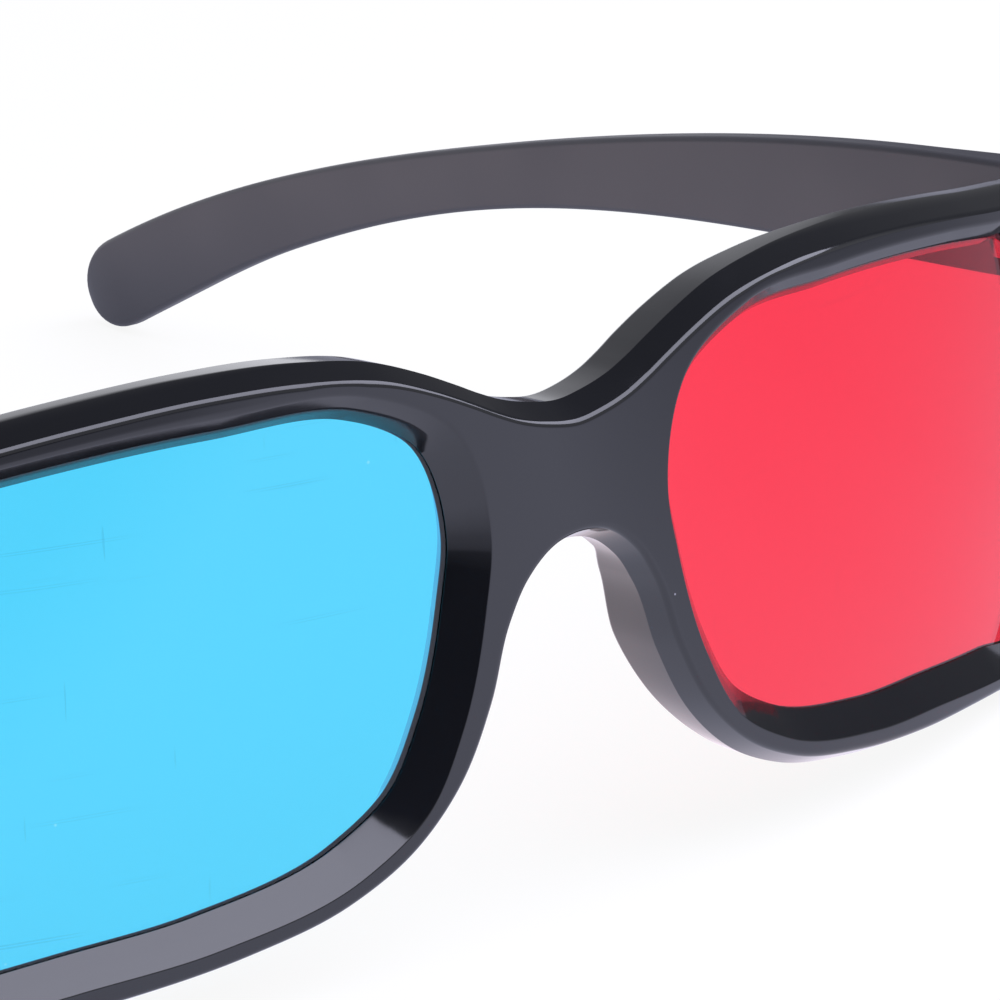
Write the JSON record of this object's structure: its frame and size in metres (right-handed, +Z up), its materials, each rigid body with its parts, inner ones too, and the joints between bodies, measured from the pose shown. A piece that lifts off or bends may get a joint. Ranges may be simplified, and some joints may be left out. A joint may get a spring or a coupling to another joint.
{
  "type": "3d glasses",
  "caption": "Wrapped black plastic glasses with a red and a cyan lens, moulded nose wings and folding temples, worn to see anaglyph pictures in depth.",
  "frame": {"origin": "middle of the footprint, on the surface that the glasses stand on with the temples open", "axes": "+X to the wearer's left, +Y from the front back along the temples, +Z up"},
  "size_m": [0.1516, 0.1626, 0.0463],
  "materials": {
    "frame_plastic": "black injection-moulded plastic, polished",
    "temple_plastic": "black injection-moulded plastic, satin",
    "red_lens": "clear red-dyed plastic sheet, smooth",
    "cyan_lens": "clear cyan-dyed plastic sheet, smooth",
    "hinge_metal": "nickel-plated stamped metal, satin",
    "screw_steel": "turned steel, bright"
  },
  "bodies": {
    "front": {"front_frame": "frame_plastic", "red_lens": "red_lens", "cyan_lens": "cyan_lens", "left_front_hinge": "hinge_metal", "right_front_hinge": "hinge_metal", "left_hinge_screw": "screw_steel", "right_hinge_screw": "screw_steel"},
    "left_arm": {"left_temple": "temple_plastic", "left_temple_hinge": "hinge_metal"},
    "right_arm": {"right_temple": "temple_plastic", "right_temple_hinge": "hinge_metal"}
  },
  "joints": [
    {"name": "left_temple_fold", "type": "hinge", "parent": "front", "child": "left_arm", "pos_m": [0.0693, -0.05591, 0.03574], "axis": [0, 0.0524, 0.9986], "range_deg": [0, 88]},
    {"name": "right_temple_fold", "type": "hinge", "parent": "front", "child": "right_arm", "pos_m": [-0.0693, -0.05591, 0.03574], "axis": [0, -0.0524, -0.9986], "range_deg": [0, 81]}
  ]
}
